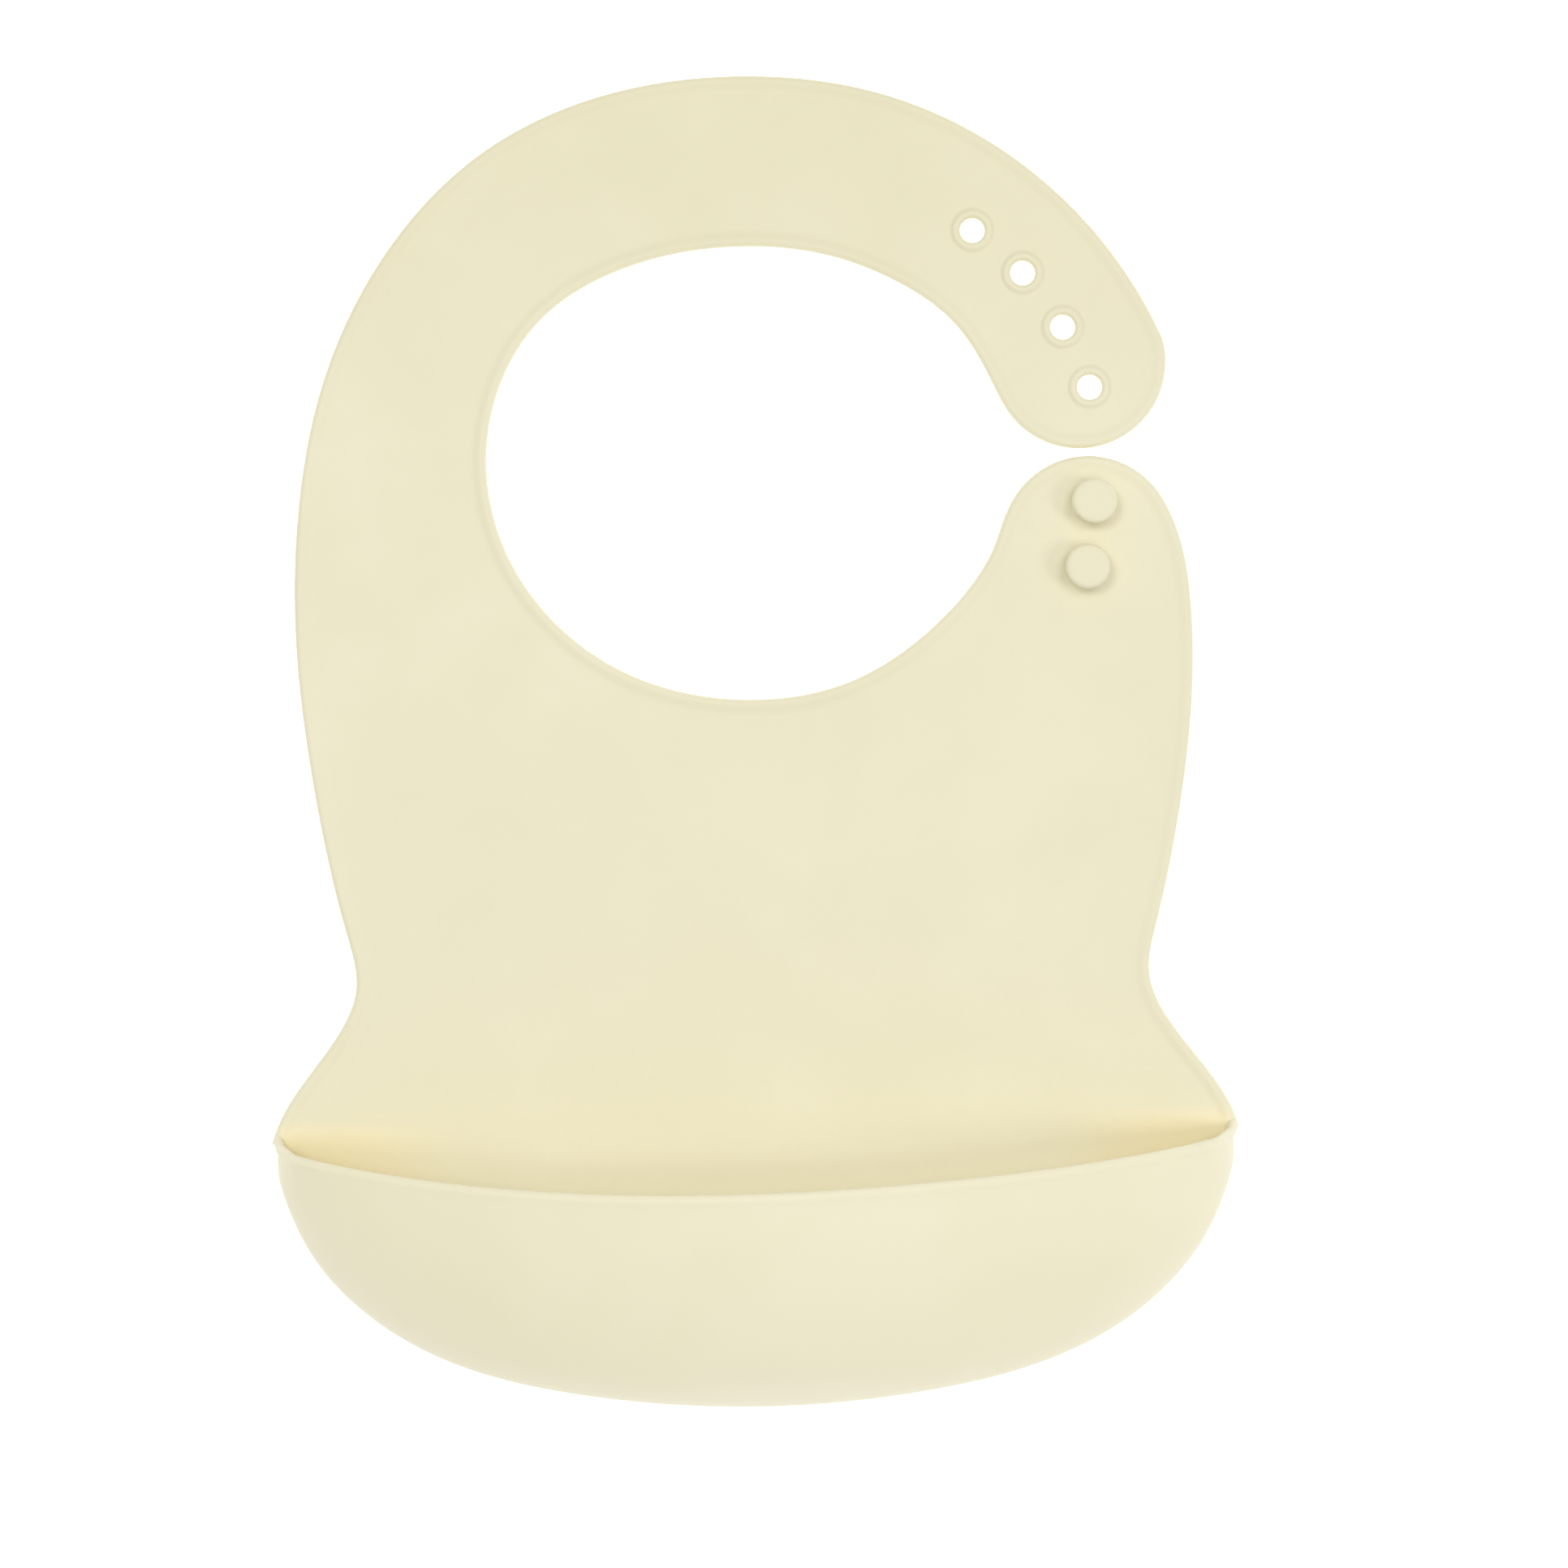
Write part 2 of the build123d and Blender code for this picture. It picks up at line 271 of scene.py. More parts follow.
def rim_section(i):
    """The rim's section at an outline point, as rows of x, y and z.

    Below the pocket's corners the bead fades out and the edge is drawn into the foot of the wall."""
    i = i % COUNT
    run = float(below_corner(i))
    shift = smoothstep(run / CORNER_RUN) * (edge_radius(run) + FOOT - RIM[-2][0])
    shift += notch(run) * smoothstep(run / NOTCH_START)
    bead = 1 - smoothstep(run / BEAD_FADE)
    rows = []
    for depth, height in RIM:
        point = outline[i] + inward[i] * (depth + shift)
        rows.append((point[0], point[1], min(height, SHEET) + bead * max(height - SHEET, 0)))
    return np.array(rows)


# ---------------------------------------------------------------- meshes
def mesh_object(name, points, faces, hard_edges=()):
    """A smooth-shaded mesh object from points in mm; hard_edges are pairs of point numbers."""
    mesh = bpy.data.meshes.new(name)
    mesh.from_pydata((np.asarray(points, float) * MM).tolist(), [], [list(map(int, f)) for f in faces])
    mesh.validate()
    mesh.shade_smooth()
    hard = {tuple(sorted(e)) for e in hard_edges}
    for edge in mesh.edges:
        if tuple(sorted(edge.vertices)) in hard:
            edge.use_edge_sharp = True
    flat = np.empty(3 * len(mesh.vertices), np.float32)
    mesh.vertices.foreach_get("co", flat)
    mesh.attributes.new(REST_PLACE, "FLOAT_VECTOR", "POINT").data.foreach_set("vector", flat)
    obj = bpy.data.objects.new(name, mesh)
    bpy.context.scene.collection.objects.link(obj)
    return obj


def inside_polygon(points, polygon):
    """Which points are inside a closed polygon."""
    x, y = points[:, 0][:, None], points[:, 1][:, None]
    ax, ay = polygon[:, 0], polygon[:, 1]
    bx, by = np.roll(ax, -1), np.roll(ay, -1)
    crosses = (ay > y) != (by > y)
    with np.errstate(divide="ignore", invalid="ignore"):
        at = ax + (y - ay) * (bx - ax) / (by - ay)
    return (np.sum(crosses & (x < at), axis=1) % 2).astype(bool)


def clearance(points, polygon):
    """Distance from each point to the nearest corner of a polygon."""
    return np.min(np.hypot(points[:, None, 0] - polygon[None, :, 0],
                           points[:, None, 1] - polygon[None, :, 1]), axis=1)


def inner_points(polygon, bends):
    """Points that fill a flat face: a grid, with closer rows along each fold line."""
    low, high = polygon.min(0), polygon.max(0)
    xs = np.arange(low[0], high[0], GRID)
    ys = np.arange(low[1], high[1], GRID)
    groups = [np.array([(x + (j % 2) * GRID / 2, y) for j, y in enumerate(ys) for x in xs])]
    for name in bends:
        line = fold_line(name)
        reach = BEND[name] + FOLD_MARGIN
        groups[0] = groups[0][np.abs(off_line(groups[0], line)) > reach + GRID_MARGIN]
        origin, along = line
        across = np.array([-along[1], along[0]])
        rows = np.arange(-reach, reach + 0.01, FOLD_STEP)
        stops = np.arange(-FOLD_LENGTH, FOLD_LENGTH, GRID)
        groups.append(np.array([origin + along * (u + (k % 2) * GRID / 2) + across * v
                                for k, v in enumerate(rows) for u in stops]))
    points = np.concatenate(groups)
    points = points[inside_polygon(points, polygon)]
    return points[clearance(points, polygon) > EDGE_GAP]


def fill(loops, bends, height, upward):
    """Triangles that fill a flat face inside loops[0] and outside the other loops.

    Returns the added points and the faces, which number the loops' points first."""
    rim = np.concatenate(loops)
    points = inner_points(loops[0], bends)
    for hole in loops[1:]:
        points = points[~inside_polygon(points, hole)]
        points = points[clearance(points, hole) > HOLE_GAP]
    edges, start = [], 0
    for loop in loops:
        n = len(loop)
        edges += [(start + i, start + (i + 1) % n) for i in range(n)]
        start += n
    both = np.concatenate([rim, points])
    out, _, faces, origin, _, _ = delaunay_2d_cdt([tuple(p) for p in both], edges, [], 0, 1e-6)
    number = [ids[0] for ids in origin]
    faces = np.array([[number[v] for v in f] for f in faces])
    centres = both[faces].mean(1)
    good = inside_polygon(centres, loops[0])
    for hole in loops[1:]:
        good &= ~inside_polygon(centres, hole)
    faces = faces[good]
    turn = np.cross(both[faces[:, 1]] - both[faces[:, 0]], both[faces[:, 2]] - both[faces[:, 0]])
    faces, turn = faces[abs(turn) > SMALLEST_TURN], turn[abs(turn) > SMALLEST_TURN]
    faces = np.where(((turn > 0) == upward)[:, None], faces, faces[:, ::-1])
    return np.column_stack([points, np.full(len(points), height)]), faces


# ---------------------------------------------------------------- flat sections with their rim bead
def seam_ends(origin, direction):
    """Outline points where a ray from the neck opening crosses the strap: inner, then outer edge."""
    direction = np.array(direction, float)
    relative = outline - origin
    side = direction[0] * relative[:, 1] - direction[1] * relative[:, 0]
    reach = relative @ direction
    crossing = np.flatnonzero((side > 0) != (np.roll(side, -1) > 0))
    crossing = [int(i) for i in crossing if reach[i] > 0]
    inner, outer = sorted(crossing, key=lambda i: reach[i])[:2]
    return {"inner": inner, "outer": outer}


def heading(degrees):
    return cos(radians(degrees)), sin(radians(degrees))


seams = {
    "tab": seam_ends(np.array([0.0, SEAM_TAB_Y]), heading(0)),
    "shoulder": seam_ends(np.array([NECK[0], SEAM_SHOULDER_Y]), heading(180)),
    "crown": seam_ends(NECK, heading(SEAM_CROWN_DEG)),
    "end": seam_ends(NECK, heading(SEAM_END_DEG)),
}


def chain(first, last):
    """Outline points from one seam's end to another's, anticlockwise, about a step apart."""
    a = seams[first[0]][first[1]]
    b = seams[last[0]][last[1]]
    length = (b - a) % COUNT
    steps = max(2, round(length * FINE_STEP / STEP))
    return [a + round(k * length / steps) for k in range(steps + 1)]


class Builder:
    """Collects points and faces of one mesh."""

    def __init__(self):
        self.points, self.faces, self.hard = [], [], []

    def add(self, points):
        """Adds points and returns their numbers."""
        start = len(self.points)
        self.points += [tuple(p) for p in points]
        return list(range(start, len(self.points)))

    def strip(self, rows):
        """Quads between neighbouring rows of point numbers; the first row's far side faces out."""
        for a, b in zip(rows, rows[1:]):
            self.faces += [(a[k], a[k + 1], b[k + 1], b[k]) for k in range(len(a) - 1)]

    def face_off(self, loops, bends, height, upward):
        """Fills a flat face between loops of point numbers."""
        flat = [np.array([self.points[i][:2] for i in loop]) for loop in loops]
        extra, faces = fill(flat, bends, height, upward)
        number = [i for loop in loops for i in loop] + self.add(extra)
        self.faces += [tuple(number[v] for v in face) for face in faces]

    def object(self, name):
        return mesh_object(name, self.points, self.faces, self.hard)


def sheet_piece(name, chains, bends, holes=()):
    """A flat section: rim strips along its free edges, square ends at its seams, two flat faces."""
    made = Builder()
    strips = [[made.add(rim_section(i)) for i in chain(*ends)] for ends in chains]
    front, back = [], []
    for rows, following in zip(strips, strips[1:] + strips[:1]):
        made.strip(rows)
        front += [row[0] for row in rows]
        back += [row[-1] for row in rows]
        ends = [rows[-1], following[0]]
        width = np.subtract(made.points[ends[0][0]], made.points[ends[1][0]])
        steps = int(np.linalg.norm(width) / GRID)
        lines = []
        for side in (0, -1):
            a, b = (np.array(made.points[row[side]]) for row in ends)
            inside = made.add(a + (b - a) * k / steps for k in range(1, steps))
            lines.append([ends[0][side]] + inside + [ends[1][side]])
        top, bottom = lines
        front += top[1:-1]
        back += bottom[1:-1]
        made.strip([[t, b] for t, b in zip(top, bottom)])
        made.faces += [ends[0], ends[1][::-1]]
        cap = ends[0] + bottom[1:-1] + ends[1][::-1] + top[-2:0:-1]
        made.hard += list(zip(cap, cap[1:] + cap[:1]))
    fronts, backs = [front], [back]
    for centre in holes:
        rows = []
        for k in range(AROUND):
            turn = 2 * pi * k / AROUND
            rows.append(made.add((centre[0] + r * cos(turn), centre[1] + r * sin(turn), z)
                                 for r, z in BOSS))
        made.strip(rows[::-1] + rows[-1:])
        fronts.append([row[0] for row in rows])
        backs.append([row[-1] for row in rows])
    made.face_off(fronts, bends, SHEET, True)
    made.face_off(backs, bends, 0.0, False)
    return made.object(name)


# Each flat piece's free edges from seam to seam, the joint that it bends at and the nodes it replaces.
SECTIONS = {
    "bib_body": ([(("tab", "inner"), ("shoulder", "inner")), (("shoulder", "outer"), ("tab", "outer"))],
                 "waist_fold", ["chest_panel", "pouch_back"]),
    "fastener_tab": ([(("tab", "outer"), ("tab", "inner"))], "stud_tab_flex", ["stud_tab"]),
    "strap_shoulder": ([(("shoulder", "inner"), ("crown", "inner")),
                        (("crown", "outer"), ("shoulder", "outer"))],
                       "shoulder_flex", ["shoulder_strap"]),
    "strap_crown": ([(("crown", "inner"), ("end", "inner")), (("end", "outer"), ("crown", "outer"))],
                    "crown_flex", ["crown_strap"]),
    "strap_tip": ([(("end", "inner"), ("end", "outer"))], "strap_end_flex", ["hole_strap"]),
}
pieces = {}
for name, (chains, bend, nodes) in SECTIONS.items():
    piece = sheet_piece(name, chains, [bend], HOLES if name == "strap_tip" else ())
    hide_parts(*nodes)
    pieces[name] = piece


def bend_piece(piece, joint_name):
    """Finds which side of its fold line the joint's child lies on, and bakes a flat section's place into its mesh.
    """
    joint = joints[joint_name]
    origin, along = fold_line(joint_name)
    across = np.array([-along[1], along[0]])
    low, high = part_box(next(n for n in frame["record"]["behaviour"]["bodies"][joint["child"]]))
    child = np.array([(low.x + high.x) / 2, (low.y + high.y) / 2]) / MM
    if (child - origin) @ across < 0:
        across = -across
    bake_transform(piece)


for name, (_, bend, _) in SECTIONS.items():
    bend_piece(pieces[name], bend)


# ---------------------------------------------------------------- mushroom studs
def stud(name, centre):
    """A stud turned about its own axis: flared foot, stem and flat round head."""
    made = Builder()
    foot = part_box(name)[0].z / MM
    rows = []
    for k in range(AROUND):
        turn = 2 * pi * k / AROUND
        rows.append(made.add((centre[0] + r * cos(turn), centre[1] + r * sin(turn), foot + z)
                             for r, z in STUD[:-1]))
    made.strip(rows[::-1] + rows[-1:])
    tip = made.add([(*centre, foot + STUD[-1][1])])[0]
    ring = [row[-1] for row in rows]
    made.faces += [(a, b, tip) for a, b in zip(ring, ring[1:] + ring[:1])]
    made.faces.append([row[0] for row in rows][::-1])
    return made.object(name + "_head")


for name, centre in STUDS.items():
    piece = stud(name, centre)
    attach(piece, "tab")
    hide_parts(name)
    pieces[piece.name] = piece


# ---------------------------------------------------------------- pocket wall
POCKET_NODES = ["pocket_side_wall", "pocket_front_wall"]
POCKET_DEPTH = round(max(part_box(node)[1].z for node in POCKET_NODES) / MM)
BOTTOM_Y = outline[:right_corner, 1].min()
SHRINK = np.array([1 - POCKET_WALL / HALF_WIDTH, 1 - POCKET_WALL / (POCKET_TOP_Y - BOTTOM_Y),
                   1 - POCKET_WALL / POCKET_DEPTH])
lowest = int(np.argmin(outline[:right_corner, 1]))
half_edge = outline[lowest:right_corner + 1]
LIP_SAG = LIP_CORNER_Y - LIP_MIDDLE_Y
LIP_RADIUS = (HALF_WIDTH ** 2 + LIP_SAG ** 2) / (2 * LIP_SAG)


def lip_y(x):
    """The lip's curve, seen from above."""
    lean = LIP_LEAN * np.sin(pi * x / HALF_WIDTH)
    return LIP_MIDDLE_Y + LIP_RADIUS - np.sqrt(LIP_RADIUS ** 2 - x ** 2) + lean


def wall_height(x, y, base):
    """Height of the wall's outer face over a point inside the pocket's outline."""
    square = np.interp(y, half_edge[:, 1], half_edge[:, 0] ** 2) - x ** 2
    return base + (POCKET_DEPTH - POCKET_BASE) * np.sqrt(np.maximum(square, 0)) / HALF_WIDTH


def corner_bead(made, corner, up, nose):
    """The free edge's bead where it turns a corner of the pocket and runs out along the lip.

    corner is the outline point, up the way round the outline that leaves the pocket, and nose the
    middle of the lip from this corner on."""
    path = []
    for run in BEAD_ON_EDGE:
        i = (corner + up * round(run / FINE_STEP)) % COUNT
        point = outline[i] + inward[i] * CORNER_BEAD
        path.append((*point, CORNER_BEAD - CORNER_BEAD_THIN * float(smoothstep(run / BEAD_ON_EDGE[0]))))
    gone = np.linalg.norm(nose - nose[0], axis=1)
    path += [tuple(nose[np.argmax(gone > run)]) for run in BEAD_ON_LIP]
    path = np.array(path)
    for _ in range(BEAD_ROUNDINGS):
        ahead = path[1:] - path[:-1]
        cut = np.stack([path[:-1] + ahead * 0.25, path[:-1] + ahead * 0.75], 1).reshape(-1, 3)
        path = np.concatenate([path[:1], cut, path[-1:]])
    along = np.gradient(path, axis=0)
    along /= np.linalg.norm(along, axis=1)[:, None]
    side = np.cross(along, (0, 0, 1))
    side /= np.linalg.norm(side, axis=1)[:, None]
    over = np.cross(side, along)
    share = np.linspace(0, 1, len(path))
    thinner = 1 - smoothstep(share / BEAD_TAPER) + smoothstep((share - (1 - BEAD_TAPER)) / BEAD_TAPER)
    radius = CORNER_BEAD - CORNER_BEAD_THIN * thinner
    rings = []
    for centre, a, b, r in zip(path, side, over, radius):
        turn = np.linspace(0, 2 * pi, BEAD_SIDES, endpoint=False)[:, None]
        ring = made.add(centre + r * (a * np.cos(turn) + b * np.sin(turn)))
        rings.append(ring + ring[:1])
    made.strip(rings[::-1])
    made.faces += [rings[0][:-1], rings[-1][:0:-1]]


def wall_object():
    """The pocket's wall with its rolled lip, rounded bottom edge and foot, in one closed piece."""
    k = np.arange(WALL_COLUMNS + 1) / WALL_COLUMNS
    share = END_SHARE * (1 - np.cos(pi * k)) / 2 + (1 - END_SHARE) * k
    run = share * pocket_length
    station = run / FINE_STEP
    low = np.minimum(station.astype(int), right_corner - 1)
    part = (station - low)[:, None]
    edge = outline[low] * (1 - part) + outline[low + 1] * part
    inner_way = inward[low] * (1 - part) + inward[low + 1] * part
    near = np.minimum(run, pocket_length - run)
    grow = smoothstep(near / CORNER_RUN)
    base = RIM_HEIGHT + (POCKET_BASE - RIM_HEIGHT) * grow
    radius = edge_radius(near)

    lip_x = HALF_WIDTH * (2 * share - 1)
    lip = np.column_stack([lip_x, lip_y(lip_x)])
    inner_x = lip_x * SHRINK[0]
    inner_lip = np.column_stack([inner_x, lip_y(inner_x)])
    about = np.array([0, POCKET_TOP_Y])
    inner_edge = (edge - about) * SHRINK[:2] + about

    length = np.hypot(*(lip - edge).T)
    narrow = np.minimum(1, length / LIP_TAPER)
    lip_bead = LIP_BEAD_LEFT + (1 - LIP_BEAD_LEFT) * (1 - smoothstep(near / LIP_BEAD_RUN))
    spacing = np.linspace(0, 1, WALL_ROWS) ** ROW_SPREAD
    rows = []

    def row(plan, z):
        """Adds a row of points, given from above, at height z."""
        rows.append(np.column_stack([plan, np.broadcast_to(z, len(plan))]))

    def along(inset):
        """The bottom edge, moved inward."""
        return edge + inner_way * np.reshape(inset, (-1, 1))

    # From under the sheet round the bottom edge and up the straight base.
    row(along(radius + FOOT + FOOT_TUCK), FOOT_TUCK)
    row(along(radius + FOOT), 0.0)
    for turn in np.linspace(0, pi / 2, EDGE_TURNS):
        row(along(radius * (1 - sin(turn))), radius * (1 - cos(turn)))
    row(edge, (radius + base) / 2)

    # Over the dome to the lip; the lip's bead stands proud of the wall.
    outer_rows = [(f * (1 - LIP_ZONE * narrow / length), 0.0) for f in spacing]
    outer_rows += [(1 - depth * narrow / length, proud) for depth, proud in LIP_ROLL]
    grid = []
    for f, _ in outer_rows:
        plan = edge + (lip - edge) * np.reshape(f, (-1, 1))
        grid.append(np.column_stack([plan, wall_height(plan[:, 0], plan[:, 1], base)]))
    grid = np.array(grid)
    normal = np.cross(np.gradient(grid, axis=1), np.gradient(grid, axis=0))
    normal /= np.linalg.norm(normal, axis=2)[..., None] + 1e-9
    for points, way, (_, proud) in zip(grid, normal, outer_rows):
        rows.append(points + way * (proud * narrow * lip_bead)[:, None])

    # Round the lip's nose to the inner face.
    inner_rows = []
    for f in spacing * INNER_REACH:
        plan = inner_edge + (inner_lip - inner_edge) * f
        y_out = POCKET_TOP_Y + (plan[:, 1] - POCKET_TOP_Y) / SHRINK[1]
        z = SHRINK[2] * wall_height(plan[:, 0] / SHRINK[0], y_out, base)
        inner_rows.append(np.column_stack([plan, z]))
    top, bottom = rows[-1], inner_rows[-1]
    nose_way = np.column_stack([lip - edge, np.zeros(len(lip))])
    nose_way /= length[:, None]
    middle, half = (top + bottom) / 2, (top - bottom) / 2
    for turn in np.linspace(0, pi, NOSE_TURNS)[1:-1]:
        rows.append(middle + half * cos(turn) + nose_way * (LIP_NOSE * narrow * sin(turn))[:, None])
    rows += inner_rows[::-1]

    # Down into the fillet at the foot of the inner face, and back under the sheet.
    fillet = np.minimum(INNER_FILLET, base * SHRINK[2] - SHEET)
    for turn in np.linspace(0, pi / 2, FILLET_TURNS):
        plan = inner_edge + inner_way * (fillet * (1 - cos(turn)))[:, None]
        row(plan, SHEET - FILLET_SINK + fillet * (1 - sin(turn)))
    row(inner_edge + inner_way * (fillet + FILLET_TUCK[0])[:, None], SHEET - FILLET_TUCK[1])

    # Near the corners everything is set in from the rounded end of the free edge.
    for section in rows:
        section[:, :2] += inner_way * notch(near)[:, None]
    middle[:, :2] += inner_way * notch(near)[:, None]

    made = Builder()
    numbers = [made.add(section) for section in np.swapaxes(np.array(rows), 0, 1)]
    closed = [list(section) + [section[0]] for section in numbers]
    made.strip(closed[::-1])
    made.faces.append(numbers[0])
    made.faces.append(numbers[-1][::-1])
    for end in (numbers[0], numbers[-1]):
        made.hard += list(zip(end, end[1:] + end[:1]))
    corner_bead(made, 0, -1, middle)
    corner_bead(made, right_corner, 1, middle[::-1])
    return made.object("pocket_wall")


wall = wall_object()
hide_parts(*POCKET_NODES)
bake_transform(wall)
pieces["pocket_wall"] = wall


# ---------------------------------------------------------------- silicone
IOR = 1.41
SHEEN, SHEEN_ROUGHNESS = 0.08, 0.5
THROUGH_COLOUR = (0.98, 0.94, 0.82, 1)
RAMP_ENDS = (0.35, 0.65)
# Scale, detail and roughness of each noise.
MOTTLING = (24, 3, 0.5)
GLOSS = (60, 4, 0.6)
GRAIN = (2600, 2, 0.5)
RIPPLE = (45, 2, 0.5)
GLOSS_RANGE = (0.46, 0.54)
# Strength and height in metres of each bump.
GRAIN_BUMP = (0.12, 0.0001)
RIPPLE_BUMP = (0.25, 0.0006)


def silicone(name, tone, see_through, painted_light_and_shade=()):
    """Satin cream silicone: faint mottling, a fine moulded grain and slightly uneven gloss.

    tone is the mottling's darker and lighter colour. see_through is the share of the light that goes
    through a thin wall and comes out warmer. Each zone is painted light or painted shade laid over the
    silicone's own tone: another tone and the ranges in mm over which it takes over, along Y, and in
    distance from the middle where that is given."""
    material = bpy.data.materials.new(name)
    material.use_nodes = True
    tree = material.node_tree
    shader = tree.nodes["Principled BSDF"]
    shader.inputs["IOR"].default_value = IOR
    shader.inputs["Sheen Weight"].default_value = SHEEN
    shader.inputs["Sheen Roughness"].default_value = SHEEN_ROUGHNESS
    at_rest = tree.nodes.new("ShaderNodeAttribute")
    at_rest.attribute_name = REST_PLACE
    place = at_rest.outputs["Vector"]

    def noise(scale, detail, roughness):
        node = tree.nodes.new("ShaderNodeTexNoise")
        node.inputs["Scale"].default_value = scale
        node.inputs["Detail"].default_value = detail
        node.inputs["Roughness"].default_value = roughness
        tree.links.new(place, node.inputs["Vector"])
        return node.outputs["Fac"]

    def ramp(source, low, high):
        node = tree.nodes.new("ShaderNodeValToRGB")
        for stop, position, colour in zip(node.color_ramp.elements, RAMP_ENDS, (low, high)):
            stop.position = position
            stop.color = (*colour, 1)
        tree.links.new(source, node.inputs["Fac"])
        return node.outputs["Color"]

    def share(source, start, end):
        """0 to 1 as a distance in metres goes from start to end, in mm."""
        node = tree.nodes.new("ShaderNodeMapRange")
        node.interpolation_type = "SMOOTHSTEP"
        node.inputs["From Min"].default_value = start * MM
        node.inputs["From Max"].default_value = end * MM
        tree.links.new(source, node.inputs["Value"])
        return node.outputs["Result"]

    def math(operation, *sources):
        node = tree.nodes.new("ShaderNodeMath")
        node.operation = operation
        for source, socket in zip(sources, node.inputs):
            tree.links.new(source, socket)
        return node.outputs["Value"]

    def mixed(factor, first, second):
        node = tree.nodes.new("ShaderNodeMix")
        node.data_type = "RGBA"
        socket = {s.identifier: s for s in list(node.inputs) + list(node.outputs)}
        tree.links.new(factor, socket["Factor_Float"])
        tree.links.new(first, socket["A_Color"])
        tree.links.new(second, socket["B_Color"])
        return socket["Result_Color"]

    def bump(height, strength, distance, under=None):
        node = tree.nodes.new("ShaderNodeBump")
        node.inputs["Strength"].default_value = strength
        node.inputs["Distance"].default_value = distance
        tree.links.new(height, node.inputs["Height"])
        if under:
            tree.links.new(under, node.inputs["Normal"])
        return node.outputs["Normal"]

    mottling = noise(*MOTTLING)
    colour = ramp(mottling, *tone)
    split = tree.nodes.new("ShaderNodeSeparateXYZ")
    tree.links.new(place, split.inputs["Vector"])
    # Painted light and shade: each zone paints its tone over the silicone's own within its ranges.
    for painted_tone, up_range, out_range in painted_light_and_shade:
        factor = share(split.outputs["Y"], *up_range)
        if out_range:
            factor = math("MULTIPLY", factor, share(math("ABSOLUTE", split.outputs["X"]), *out_range))
        colour = mixed(factor, colour, ramp(mottling, *painted_tone))
    tree.links.new(colour, shader.inputs["Base Color"])
    gloss = ramp(noise(*GLOSS), *((value,) * 3 for value in GLOSS_RANGE))
    tree.links.new(gloss, shader.inputs["Roughness"])
    ripple = bump(noise(*RIPPLE), *RIPPLE_BUMP)
    tree.links.new(bump(noise(*GRAIN), *GRAIN_BUMP, ripple), shader.inputs["Normal"])

    through = tree.nodes.new("ShaderNodeBsdfTranslucent")
    through.inputs["Color"].default_value = THROUGH_COLOUR
    mix = tree.nodes.new("ShaderNodeMixShader")
    mix.inputs["Fac"].default_value = see_through
    tree.links.new(shader.outputs["BSDF"], mix.inputs[1])
    tree.links.new(through.outputs["BSDF"], mix.inputs[2])
    tree.links.new(mix.outputs["Shader"], tree.nodes["Material Output"].inputs["Surface"])
    return material


SHEET_TONE = ((0.862, 0.812, 0.584), (0.880, 0.831, 0.608))
# Painted light: the pocket wall's tone is painted lighter than the sheet's, standing in for light that the wall
# gets too little of.
WALL_TONE_PAINTED_LIGHTER = ((0.980, 0.928, 0.686), (0.994, 0.944, 0.712))
# Painted light and shade over the sheet's silicone: each a tone, its range along Y in mm, and its range in
# distance from the middle in mm or None.
PAINTED_LIGHT_AND_SHADE = [
    # Painted shade: the strap is painted a little darker and warmer from 55 mm up, standing in for the weaker
    # light there.
    (((0.832, 0.783, 0.542), (0.850, 0.801, 0.566)), (55, 140), None),
    # Painted light: the inside of the pocket, which lies in shade, is painted lighter, and its ends painted
    # warmer, standing in for light that comes in through the silicone.
    (((0.978, 0.922, 0.686), (0.990, 0.938, 0.708)), (-86, -97), None),
    (((0.984, 0.870, 0.552), (0.994, 0.885, 0.577)), (-84, -91), (62, 98)),
]
WALL_SEE_THROUGH = 0.12
# The sheet's silicone carries the painted light and shade; the wall's tone is painted lighter.
sheet_silicone_with_painted_light = silicone("silicone", SHEET_TONE, 0.0, PAINTED_LIGHT_AND_SHADE)
wall_silicone_painted_lighter = silicone("silicone_wall", WALL_TONE_PAINTED_LIGHTER, WALL_SEE_THROUGH)
for name, piece in pieces.items():
    piece.data.materials.append(wall_silicone_painted_lighter if name == "pocket_wall" else sheet_silicone_with_painted_light)


# ---------------------------------------------------------------- floor, light and camera (m, W)
FLOOR_SIDE = 4.0            # from the middle to each side
FLOOR_DROP = 0.0002         # the floor is this far below the bib, so that the two don't flicker
FLOOR_WHITE, FLOOR_ROUGHNESS, FLOOR_GLOW = 0.93, 0.9, 0.6
# Each softbox's place, size and power.
SOFTBOXES = {
    "top_left": ((-0.5, 0.4, 1.8), 0.6, 8.6),
    "top_right": ((0.5, 0.4, 1.8), 0.6, 5.6),
    "right": ((1.3, -0.35, 1.5), 0.6, 5.4),
    "front": ((0.1, -0.45, 1.9), 0.5, 3.9),
}
AMBIENT, BACKDROP = 0.4, 1.0                        # strength as light, and as the camera sees it
CAMERA_PLACE = (0.0079, -0.0104, 0.7512)
CAMERA_TURN = -1.04         # degrees
LENS, SENSOR = 75.5, 36.0   # mm


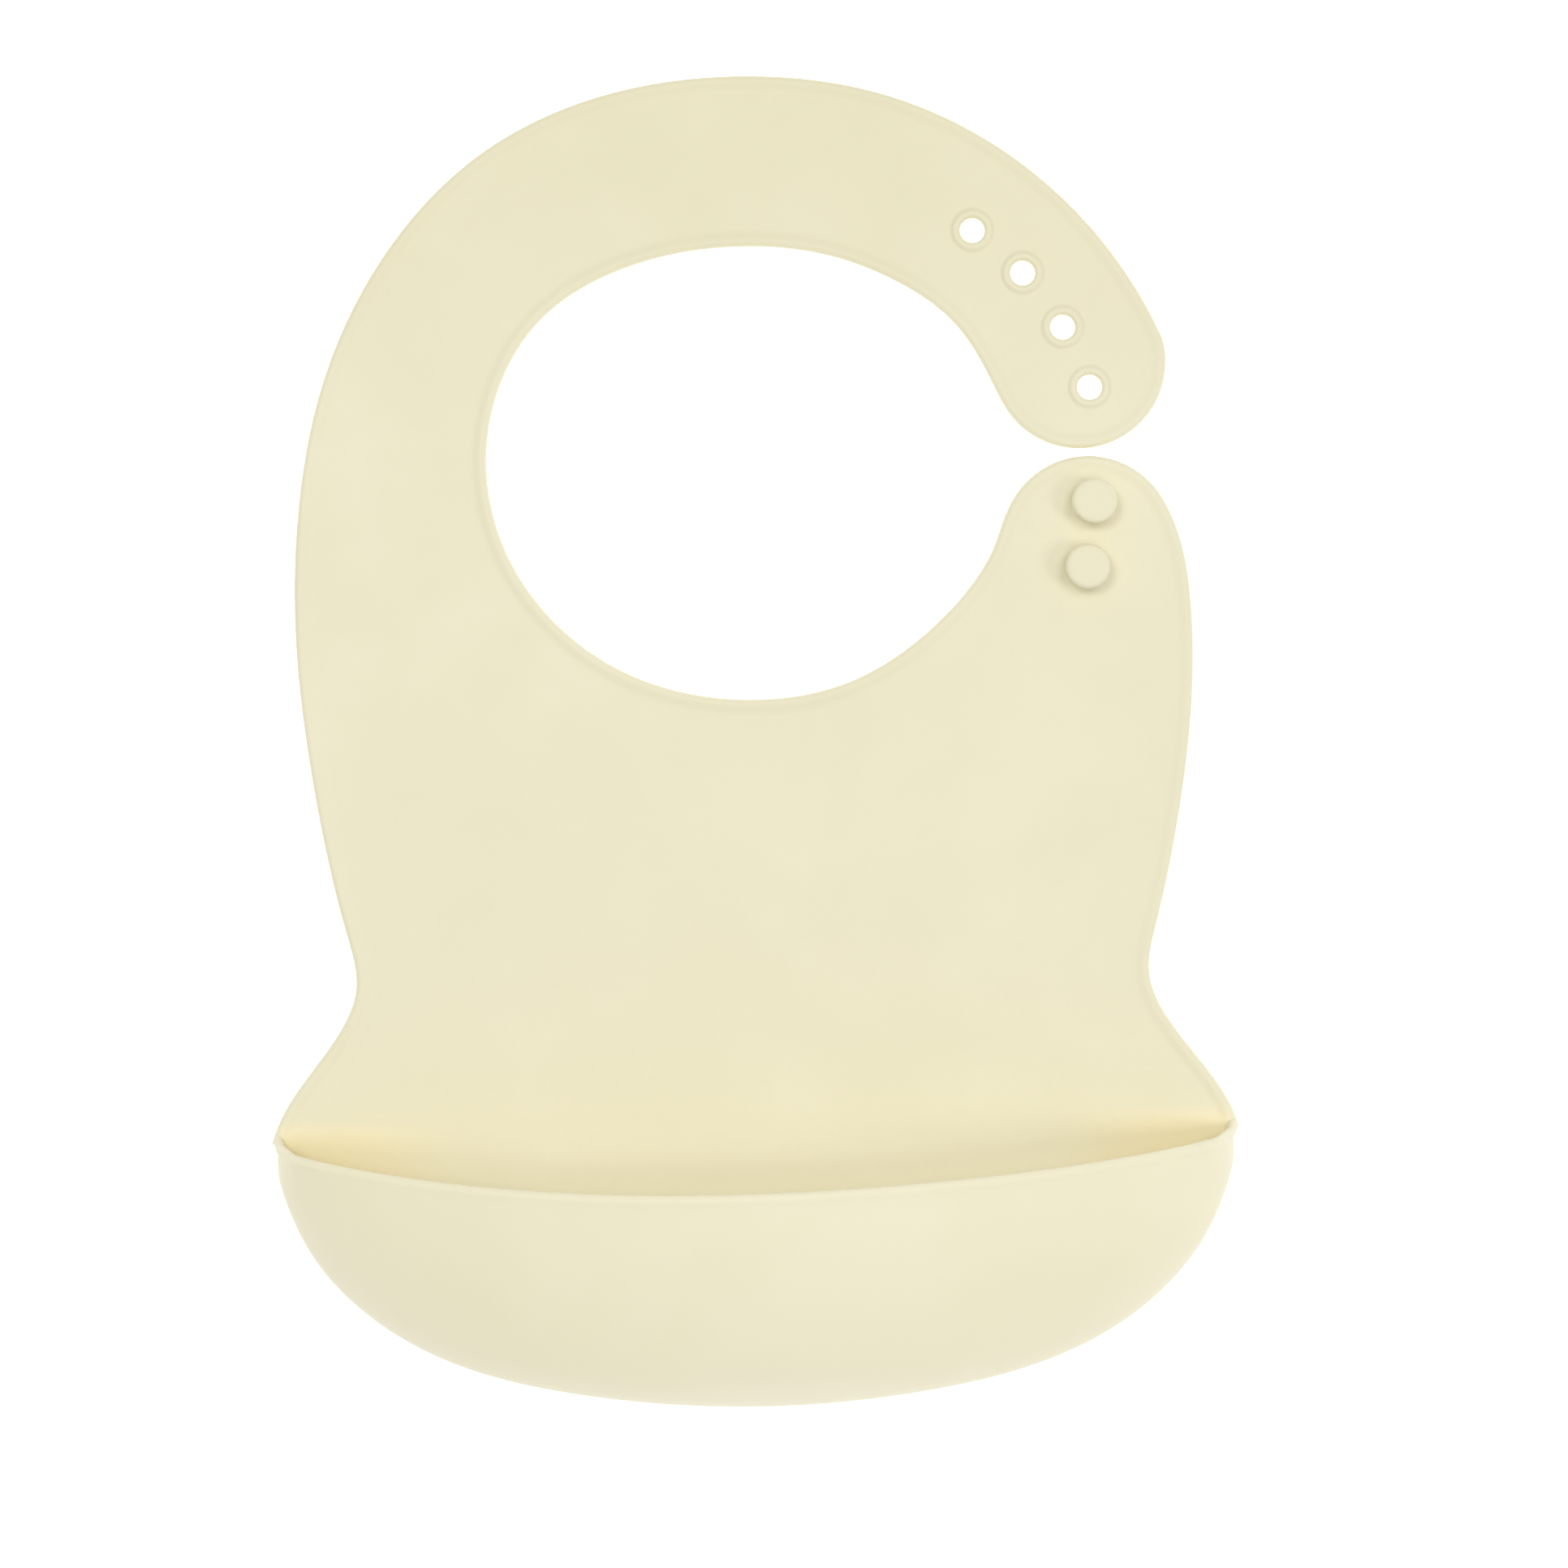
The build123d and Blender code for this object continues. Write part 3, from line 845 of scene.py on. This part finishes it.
def floor():
    """A white floor that glows a little and so lights the bib's sides, as a bright table does."""
    mesh = bpy.data.meshes.new("floor")
    corners = [(-1, -1), (1, -1), (1, 1), (-1, 1)]
    points = [(x * FLOOR_SIDE, y * FLOOR_SIDE, -FLOOR_DROP) for x, y in corners]
    mesh.from_pydata(points, [], [(0, 1, 2, 3)])
    plane = bpy.data.objects.new("floor", mesh)
    bpy.context.scene.collection.objects.link(plane)
    material = bpy.data.materials.new("floor_white")
    material.use_nodes = True
    shader = material.node_tree.nodes["Principled BSDF"]
    shader.inputs["Base Color"].default_value = (FLOOR_WHITE, FLOOR_WHITE, FLOOR_WHITE, 1)
    shader.inputs["Roughness"].default_value = FLOOR_ROUGHNESS
    shader.inputs["Emission Color"].default_value = (1, 1, 1, 1)
    shader.inputs["Emission Strength"].default_value = FLOOR_GLOW
    plane.data.materials.append(material)


def softbox(name, place, size, power):
    """A square light aimed at the middle of the bib."""
    light = bpy.data.lights.new(name, "AREA")
    light.shape = "SQUARE"
    light.size = size
    light.energy = power
    lamp = bpy.data.objects.new(name, light)
    lamp.location = place
    lamp.rotation_euler = (-lamp.location).to_track_quat("-Z", "Y").to_euler()
    bpy.context.scene.collection.objects.link(lamp)


def studio_world():
    """An even light from all sides, in front of a white backdrop."""
    world = bpy.data.worlds.new("studio")
    world.use_nodes = True
    tree = world.node_tree
    backdrop = tree.nodes["Background"]
    backdrop.inputs["Color"].default_value = (1, 1, 1, 1)
    seen = tree.nodes.new("ShaderNodeLightPath").outputs["Is Camera Ray"]
    strength = tree.nodes.new("ShaderNodeMapRange")
    strength.inputs["To Min"].default_value = AMBIENT
    strength.inputs["To Max"].default_value = BACKDROP
    tree.links.new(seen, strength.inputs["Value"])
    tree.links.new(strength.outputs["Result"], backdrop.inputs["Strength"])
    bpy.context.scene.world = world


def camera():
    """Straight above the bib, a little off its middle and turned by the angle at which it lies."""
    data = bpy.data.cameras.new("camera")
    data.lens = LENS
    data.sensor_width = SENSOR
    eye = bpy.data.objects.new("camera", data)
    eye.location = CAMERA_PLACE
    eye.rotation_euler = (0, 0, radians(CAMERA_TURN))
    bpy.context.scene.collection.objects.link(eye)
    bpy.context.scene.camera = eye


floor()
for name, (place, size, power) in SOFTBOXES.items():
    softbox(name, place, size, power)
studio_world()
bpy.context.scene.view_settings.view_transform = "Standard"
camera()
